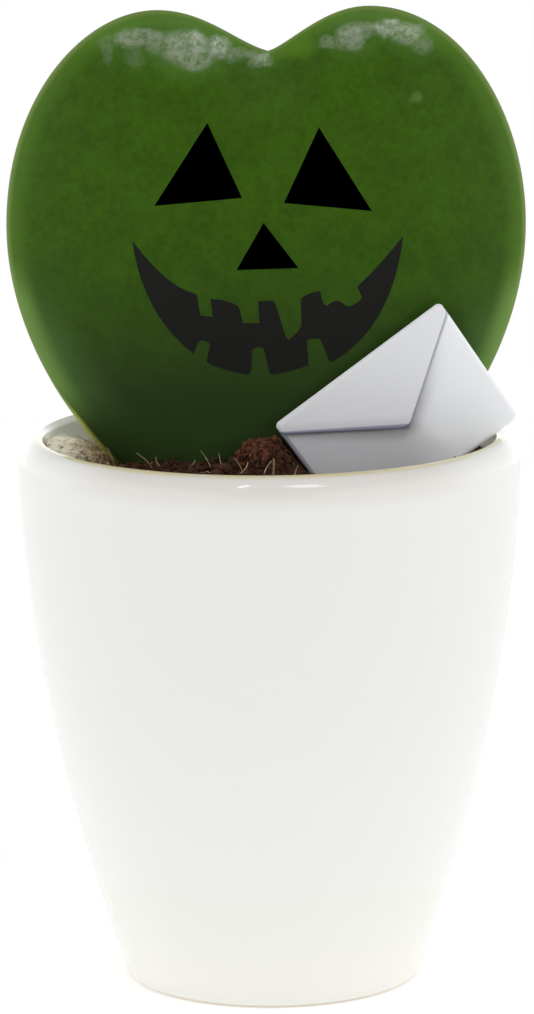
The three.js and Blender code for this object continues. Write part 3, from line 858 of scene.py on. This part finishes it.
# Pale streaks, one scar, and the young green beside the notch.
streak_cells = skin.node("ShaderNodeTexVoronoi", {"feature": "F1"}, {"Scale": 1 / (7 * MM)})
streaks = streak_cells.eased(0.09, 0.03) * skin.noise(15, 0).eased(0.55, 0.6)
scar_off = ((x_mm - SCAR[0]) ** 2 + (z_mm - SCAR[1]) ** 2) ** 0.5 + 1.8 * skin.noise(0.8, 3)
scar = scar_off.eased(2.0, 1.2) * (0.4 + 0.6 * scar_off.eased(0.9, 1.3)) * (1 - back)
colour = skin.mixed(colour, LEAF_STREAK, (streaks * 0.5).maths("MAXIMUM", scar * 0.35))
young_x = (x_mm - YOUNG_MIDDLE[0]) / YOUNG_SPREAD[0]
young_z = (z_mm - YOUNG_MIDDLE[1]) / YOUNG_SPREAD[1]
beside_notch = (young_x**2 + young_z**2).eased(1.2, 0.0)
colour = skin.mixed(colour, LEAF_YOUNG, beside_notch * 0.5)

# The paler back.
deep = 0.5 * mottle.eased(0.3, 0.7) + 0.4 * skin.noise(1.3, 3).eased(0.35, 0.65)
colour = skin.mixed(colour, skin.mixed(LEAF_UNDER, LEAF_UNDER_DEEP, deep), back)

# The painted sheen low at the sides; the paler edge, with painted light low down and at the top
# rim; and the thin margin, brightest low down by painted light.
low_down = z.eased(*LOW_THIRD)
painted_sheen = spread.eased(0.76, 0.95) * z.eased(*SHEEN_OFF_FOOT) * z.eased(*SHEEN_OFF_TOP) * (1 - back)
colour = skin.mixed(colour, LEAF_SHEEN, painted_sheen * (0.2 + 0.22 * mottle))
paler_and_lit = spread.eased(0.9, 0.985) * z.eased(*EDGE_OFF_FOOT) * (1 - back)
paler_and_lit = paler_and_lit * (0.6 + 0.4 * low_down.maths("MAXIMUM", 0.6 * z.eased(*LIT_TOP_RIM)))
colour = skin.mixed(colour, skin.mixed(LEAF_EDGE, LEAF_EDGE_LIT_LOW, low_down), paler_and_lit)
margin = skin.mixed(LEAF_MARGIN, LEAF_MARGIN_LIT_LOW, z.eased(*MARGIN_LIT_LOW))
margin_start = 0.975 + 0.012 * z.eased(*MARGIN_THIN_TOP) * z.eased(*MARGIN_THIN_FOOT)
colour = skin.mixed(colour, margin, spread.eased(margin_start, 0.995) * 0.8)

# The wax: glossy patches with a ragged outline, broken by fine noise, painted paler as a
# highlight, and a faint painted sheen round them.
relief = skin.bump(skin.noise(0.6, 3), 0.012)
folds = skin.bump(skin.noise(2.0, 3, twist=1.0), 0.06, relief)
ragged_x = x_mm + 2.2 * (skin.noise(2.4, 3) - 0.5)
ragged_z = z_mm + 1.6 * (skin.noise(1.9, 3) - 0.5)
wax_highlight = 0.0
sheen_halo = 0.0
for (wax_x, wax_z), (wide, high), share in WAX:
    off = ((ragged_x - wax_x) / wide) ** 2 + ((ragged_z - wax_z) / high) ** 2
    wax_highlight = (off.eased(1.7, 0.1) * share).maths("MAXIMUM", wax_highlight)
    sheen_halo = (off.eased(6.0, 0.5) * share).maths("MAXIMUM", sheen_halo)
colour = skin.mixed(colour, LEAF_SHEEN, sheen_halo * 0.24 * (1 - back))
broken = skin.noise(0.9, 3, roughness=0.65, twist=0.5).eased(0.34, 0.6)
wax_highlight = wax_highlight * (0.36 + 0.64 * broken) * (1 - back)
matt = skin.shader(Base_Color=colour, Roughness=0.36 + 0.12 * skin.noise(2.4, 3), Normal=relief,
                   Specular_IOR_Level=0.1, Subsurface_Weight=0.05,
                   Subsurface_Radius=(0.4, 1.0, 0.2), Subsurface_Scale=0.002)
# The glossy wax, its colour painted paler as a highlight.
waxy = skin.shader(Base_Color=skin.mixed(colour, LEAF_HIGHLIGHT, 0.45), Roughness=0.38,
                   Normal=folds, Specular_IOR_Level=1.0, IOR=2.0)
leaf_skin = skin.ended(skin.node("ShaderNodeMixShader", {}, {0: wax_highlight, 1: matt, 2: waxy}))
leaf = mesh_piece("leaf_blade", leaf_points, *leaf_faces, finish=leaf_skin)


def add_values(piece, name, values):
    """Numbers of a piece's points, for its finish to read."""
    made = piece.data.attributes.new(name, "FLOAT", "POINT")
    made.data.foreach_set("value", np.asarray(values, np.float32))


behind = np.broadcast_to(polar > np.pi / 2, ring_across.shape)
add_values(leaf, "spread", np.concatenate([ring_spread.ravel(), [0, 0]]))
add_values(leaf, "back", np.concatenate([behind.ravel(), [0, 1]]))
stalk_profile = [
    (0, STALK_END),
    (STALK_END_RADIUS - STALK_ROUND, STALK_END),
    (STALK_END_RADIUS, STALK_END + STALK_ROUND),
    (STALK_RADIUS, STALK_END + STALK_LENGTH),
    (0, STALK_END + STALK_LENGTH),
]
stalk_points, *stalk_faces = turned(stalk_profile, STALK_SIDES)
stalk_x, stalk_y, stalk_z = stalk_points.T
stalk_points = on_leaf(stalk_x, stalk_z, -stalk_y - LEAF_EDGE_CURL)
stalk = mesh_piece("leaf_stalk", stalk_points, *stalk_faces, finish=leaf_skin)
for part in (leaf, stalk):
    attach(part, "root")
    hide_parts("leaf")


# ---- Printed face ----
# Flat ink, printed on the front of the leaf: a pumpkin's black triangular eyes and nose, and
# a charcoal grin with gaps for teeth.

INK_THICKNESS = 0.04
HALF_ROUND = (54, 18, -18, -54)  # the angles of a half-round edge's rows
SHARP_FOLD = math.radians(15)
EYE_LEFT = [(-8.2, 53.85), (-15.6, 42.5), (-3.5, 43.5)]
EYE_RIGHT = [(7.2, 53.1), (2.3, 42.75), (14.4, 41.55)]
NOSE = [(-0.55, 40.0), (-4.35, 33.55), (4.2, 33.75)]


def bend(start, pull, end, steps=10):
    """Points of a curve between two ends, drawn towards one pull, without its last point.

    With u = 1 - t: u^2 start + 2 t u pull + t^2 end.
    """
    t = np.linspace(0, 1, steps, endpoint=False)[:, None]
    start, pull, end = map(np.asarray, (start, pull, end))
    return (1 - t) ** 2 * start + 2 * t * (1 - t) * pull + t**2 * end


# The outline of the grin, from the left corner along the upper lip and back along the lower.
GRIN = np.concatenate([
    bend((-18.7, 37.7), (-13.9, 31.1), (-9.9, 30.3), 24),
    [(-9.9, 30.3), (-9.4, 27.3), (-7.7, 27.1), (-7.95, 29.6)],
    bend((-7.95, 29.6), (-5.6, 29.5), (-4.1, 28.5))[1:],
    [(-4.1, 28.5), (-3.5, 26.2), (-1.2, 26.2), (-1.4, 29.2), (0.6, 29.3), (1.0, 28.8),
     (2.4, 24.2), (2.8, 23.8), (4.2, 25.1), (4.6, 25.9), (4.5, 29.5)],
    bend((4.5, 29.5), (5.8, 30.5), (7.2, 30.5))[1:],
    [(7.2, 30.5), (7.4, 29.4), (7.7, 28.7), (8.1, 28.5), (9.0, 29.1), (9.6, 29.2), (10.2, 28.9),
     (10.8, 28.4), (11.4, 28.4), (12.6, 29.1), (13.0, 29.6), (12.3, 31.1)],
    bend((12.3, 31.1), (15.4, 33.9), (18.7, 38.0), 20)[1:],
    bend((18.7, 38.0), (17.1, 25.3), (8.7, 20.7), 30),
    [(8.7, 20.7), (8.3, 21.0), (7.3, 23.6), (6.9, 24.0), (5.6, 23.9), (5.3, 23.6),
     (5.4, 21.6), (5.5, 20.3)],
    bend((5.5, 20.3), (3.1, 19.4), (0.6, 19.05))[1:],
    [(0.6, 19.05), (0.1, 19.3), (-0.6, 22.5), (-0.9, 22.8), (-1.8, 22.8), (-2.3, 22.5),
     (-2.4, 20.0), (-2.7, 19.05)],
    bend((-2.7, 19.05), (-5.9, 19.5), (-8.2, 20.6))[1:],
    [(-8.2, 20.6), (-8.6, 20.9), (-8.1, 23.1), (-8.3, 23.6), (-9.2, 23.9), (-9.7, 23.65),
     (-10.4, 22.0)],
    bend((-10.4, 22.0), (-17.4, 27.6), (-18.7, 37.7), 34)[1:],
])


def sheet(name, outline, step, place, low, high, finish, round_edge=False):
    """A thin sheet that follows a surface.

    A net of triangles fills the outline twice, once lifted by low and once by high, and rows
    of quads join the two at the edge: one upright row, or a half-round of them.
    """
    outline = np.asarray(outline, float)
    side = np.roll(outline, -1, axis=0) - outline
    parts = np.maximum(1, np.ceil(np.linalg.norm(side, axis=1) / step)).astype(int)
    start = np.repeat(np.arange(len(outline)), parts)
    along = (np.arange(parts.sum()) - np.repeat(np.cumsum(parts) - parts, parts)) / parts[start]
    edge = outline[start] + along[:, None] * side[start]
    corner_low, corner_high = edge.min(axis=0), edge.max(axis=0)
    ticks = [np.arange(a, b, step) for a, b in zip(corner_low, corner_high)]
    inside = np.stack(np.meshgrid(*ticks), axis=-1).reshape(-1, 2)
    ring = [(i, (i + 1) % len(edge)) for i in range(len(edge))]
    spots = [Vector(p) for p in np.concatenate([edge, inside])]
    flat, _, triangles, *_ = delaunay_2d_cdt(spots, ring, [], 1, 1e-5)
    flat = np.array([tuple(p) for p in flat])
    triangles = np.array(triangles)
    size = len(flat)
    top, bottom = high(*flat.T), low(*flat.T)
    sides = np.concatenate([triangles[:, [0, 1]], triangles[:, [1, 2]], triangles[:, [2, 0]]])
    there, back_again = sides @ (size, 1), sides @ (1, size)
    rim = sides[~np.isin(there, back_again)]
    after = dict(rim.tolist())
    loop = [rim[0, 0]]
    while after[loop[-1]] != loop[0]:
        loop.append(after[loop[-1]])
    loop = np.array(loop)
    ahead = np.roll(flat[loop], -1, axis=0) - np.roll(flat[loop], 1, axis=0)
    outwards = np.stack([ahead[:, 1], -ahead[:, 0]], axis=1)
    outwards = outwards / np.linalg.norm(ahead, axis=1, keepdims=True)
    half, mid = (top - bottom)[loop] / 2, (top + bottom)[loop] / 2
    points = [place(*flat.T, top), place(*flat.T, bottom)]
    for turn in np.radians(HALF_ROUND if round_edge else ()):
        out = flat[loop] + outwards * (half * math.cos(turn))[:, None]
        points.append(place(*out.T, mid + half * math.sin(turn)))
    between = [2 * size + len(loop) * i + np.arange(len(loop)) for i in range(len(points) - 2)]
    rows = [loop, *between, loop + size]
    quads = [np.stack([b, a, np.roll(a, -1), np.roll(b, -1)], axis=1)
             for a, b in zip(rows, rows[1:])]
    piece = mesh_piece(name, np.concatenate(points), triangles, triangles[:, ::-1] + size,
                       *quads, finish=finish)
    piece.data.set_sharp_from_angle(angle=SHARP_FOLD)
    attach(piece, "root")
    return piece


def ink_low(across, up):
    """The ink's back, on the leaf's front."""
    return leaf_lift(across, up, leaf_spread(across, up), True)


def ink_high(across, up):
    """The ink's front."""
    return ink_low(across, up) + INK_THICKNESS


def ink_finish(name, colour):
    """Matt ink, nearly even."""
    ink = Finish(bpy.data.materials.new(name))
    worn = 0.95 + 0.1 * ink.noise(2.0, 3)
    shade = ink.mixed(BLACK, colour, worn)
    return ink.surface(Base_Color=shade, Roughness=0.7, Specular_IOR_Level=0.0)


black_ink = ink_finish("black_ink", BLACK)
charcoal_ink = ink_finish("charcoal_ink", paint(35, 35, 33))
for name, outline, ink, ink_slot in (("eye_left", EYE_LEFT, black_ink, "black_ink"),
                                     ("eye_right", EYE_RIGHT, black_ink, "black_ink"),
                                     ("nose", NOSE, black_ink, "black_ink"),
                                     ("mouth", GRIN, charcoal_ink, "charcoal_ink")):
    film = sheet(f"ink_{name}", outline, 0.9, on_leaf, ink_low, ink_high, ink)
    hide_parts(f"print_{name}")


# ---- Envelope ----
# A small gift envelope of stiff white paper, pushed into the coir beside the leaf and turned.
# Its flap is folded down over the pocket and stands a little open.

CARD_WIDTH = 28.6
CARD_HEIGHT = 19.1
CARD_THICKNESS = 1.0
CARD_PLACE = (0.6, -2.7, 78.5)
CARD_TURN = math.radians(36.2)
CARD_LEAN = math.radians(8)
FLAP_PAPER = 0.4
FLAP_TIP = (14.7, 10.8)
FLAP_TIP_ROUND = 1.4
FLAP_RISE = 0.95
FLAP_BOW = 0.12
FOLD = (CARD_THICKNESS + FLAP_PAPER) / 2
FLAP_SIDE = -1.6
FLAP_POINT = (FLAP_TIP[0], -FLAP_TIP[1] - 0.35)
LEFT_OF_FLAP = (FLAP_POINT[1] - FLAP_SIDE, -FLAP_POINT[0])
RIGHT_OF_FLAP = (FLAP_SIDE - FLAP_POINT[1], FLAP_POINT[0] - CARD_WIDTH)
PAPER_WHITE = paint(250, 252, 255)
PAPER_SHADE = paint(186, 185, 190)
SHADOW = paint(110, 110, 116)
FLAP_EDGE_SHADE = paint(176, 176, 196)
FLAP_LINE = paint(118, 120, 150)

card_matrix = (Matrix.Translation(CARD_PLACE) @ Matrix.Rotation(math.pi / 2 - CARD_LEAN, 4, "X")
               @ Matrix.Rotation(CARD_TURN, 4, "Z"))
card_axes = np.array(card_matrix)


def on_card(across, up, lift):
    """A point of the envelope: right and up from its top left corner, and lifted to its front."""
    return np.stack([across, up, lift], axis=-1) @ card_axes[:3, :3].T + card_axes[:3, 3]


def rounded(corners, radii, steps=7):
    """The closed outline with these corners, each rounded off by an arc of its radius."""
    corners = [Vector(corner) for corner in corners]
    path = []
    for i, (corner, radius) in enumerate(zip(corners, radii)):
        to_last = (corners[i - 1] - corner).normalized()
        to_next = (corners[(i + 1) % len(corners)] - corner).normalized()
        half = to_last.angle(to_next) / 2
        centre = corner + (to_last + to_next).normalized() * (radius / math.sin(half))
        start = corner + to_last * (radius / math.tan(half)) - centre
        end = corner + to_next * (radius / math.tan(half)) - centre
        for t in np.linspace(0, 1, steps):
            spoke = start.lerp(end, t).normalized() * radius
            path.append(tuple(centre + spoke))
    return np.array(path)


def flap_front(across, up):
    """The flap's front: off the pocket at the fold, rising to the tip by the 1.3rd power of
    the way down, and bowed out a little by a sine."""
    down = np.clip(-up / FLAP_TIP[1], 0, 1.1)
    bow = FLAP_BOW * np.sin(np.pi * np.clip(down, 0, 1))
    return CARD_THICKNESS / 2 + FLAP_PAPER + FLAP_RISE * down**1.3 + bow


def flap_back(across, up):
    """The flap's back: a paper's thickness behind its front, and at the fold the pocket's back."""
    folded = np.clip((-up - FOLD) / 0.9, 0, 1)
    return (1 - folded) * -CARD_THICKNESS / 2 + folded * (flap_front(across, up) - FLAP_PAPER)


def measured(paper, run, rise):
    """Millimetres from the flap's tip, in one direction of the envelope's own plane."""
    axis = card_axes[:3, :2] @ np.array((run, rise)) / math.hypot(run, rise)
    places = zip(paper.axes(paper.place()), axis)
    along = sum(place * float(part / MM) for place, part in places)
    return along - float(on_card(*FLAP_POINT, 0) @ axis)


def paper_finish(name, shades):
    """Stiff matt paper, with soft painted shade and shadow of a colour where a share is above 0.
    """
    paper = Finish(bpy.data.materials.new(name))
    colour = paper.mixed(PAPER_WHITE, PAPER_SHADE, 0.06 * paper.noise(5, 2))
    for tint, share in shades(paper):
        colour = paper.mixed(colour, tint, share)
    grain = paper.bump(paper.noise(0.8, 4), 0.012)
    return paper.surface(Base_Color=colour, Roughness=0.75, Normal=grain, Specular_IOR_Level=0.25)


def pocket_shades(paper):
    """Painted shade low down beside the flap, a painted shadow round the flap's tip and along its
    edges, and a bluish line along the pocket's left edge.
    """
    x, _, z = paper.axes(paper.place())
    past_left = measured(paper, *LEFT_OF_FLAP)
    past_right = measured(paper, *RIGHT_OF_FLAP)
    up_right = measured(paper, -RIGHT_OF_FLAP[1], RIGHT_OF_FLAP[0])
    low_shade = x.eased(0.0235 + 0.0045 * z.eased(0.078, 0.075), 0.0185) * z.eased(0.0795, 0.0775)
    # Painted shade low down beside the flap.
    yield PAPER_SHADE, low_shade * 0.66
    near_tip = past_right.eased(2.6, 0.0) * past_left.eased(2.0, 0.0)
    yield SHADOW, near_tip * up_right.eased(14, 0) * up_right.eased(-4, 0) * 0.37
    # A painted shadow along the flap's edges.
    yield SHADOW, past_left.maths("MAXIMUM", past_right).eased(0.6, 0.1) * 0.5
    yield FLAP_LINE, (measured(paper, 1, 0) + FLAP_POINT[0]).eased(0.72, 0.55) * 0.5


def flap_shades(paper):
    """Painted shade: the flap a little darker all over than the pocket, and bluish towards its
    lower left edge.
    """
    inside = -1 * measured(paper, *LEFT_OF_FLAP)
    # Painted shade over the whole flap.
    yield PAPER_SHADE, 0.26
    yield FLAP_EDGE_SHADE, inside.eased(1.8, 0.3) * 0.35
    yield FLAP_LINE, inside.eased(0.5, 0.2) * 0.8


edge = CARD_THICKNESS / 2
pocket_corners = [
    (edge, -edge),
    (edge, -CARD_HEIGHT + edge),
    (CARD_WIDTH - edge - 0.7, -CARD_HEIGHT + edge - 0.25),
    (CARD_WIDTH - edge, -edge),
]
pocket = sheet("envelope_pocket", rounded(pocket_corners, [0.75, 0.3, 0.3, 0.75]), 1.0, on_card,
               lambda across, up: 0 * across - CARD_THICKNESS / 2,
               lambda across, up: 0 * across + CARD_THICKNESS / 2,
               paper_finish("pocket_paper", pocket_shades), True)
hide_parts("envelope")
flap_corners = [
    (FOLD, -FOLD),
    (FOLD / 2, FLAP_SIDE),
    FLAP_POINT,
    (CARD_WIDTH - FOLD / 2, FLAP_SIDE),
    (CARD_WIDTH - FOLD, -FOLD),
]
flap_outline = rounded(flap_corners, [0.2, 0.5, FLAP_TIP_ROUND, 0.5, 0.2])
flap = sheet("envelope_flap", flap_outline, 0.7, on_card, flap_back, flap_front,
             paper_finish("flap_paper", flap_shades), True)
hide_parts("envelope")


# ---- Sizes and the end ----

low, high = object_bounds()
{"cad": [list(cad_low), list(cad_high)], "visual": [list(low), list(high)]}
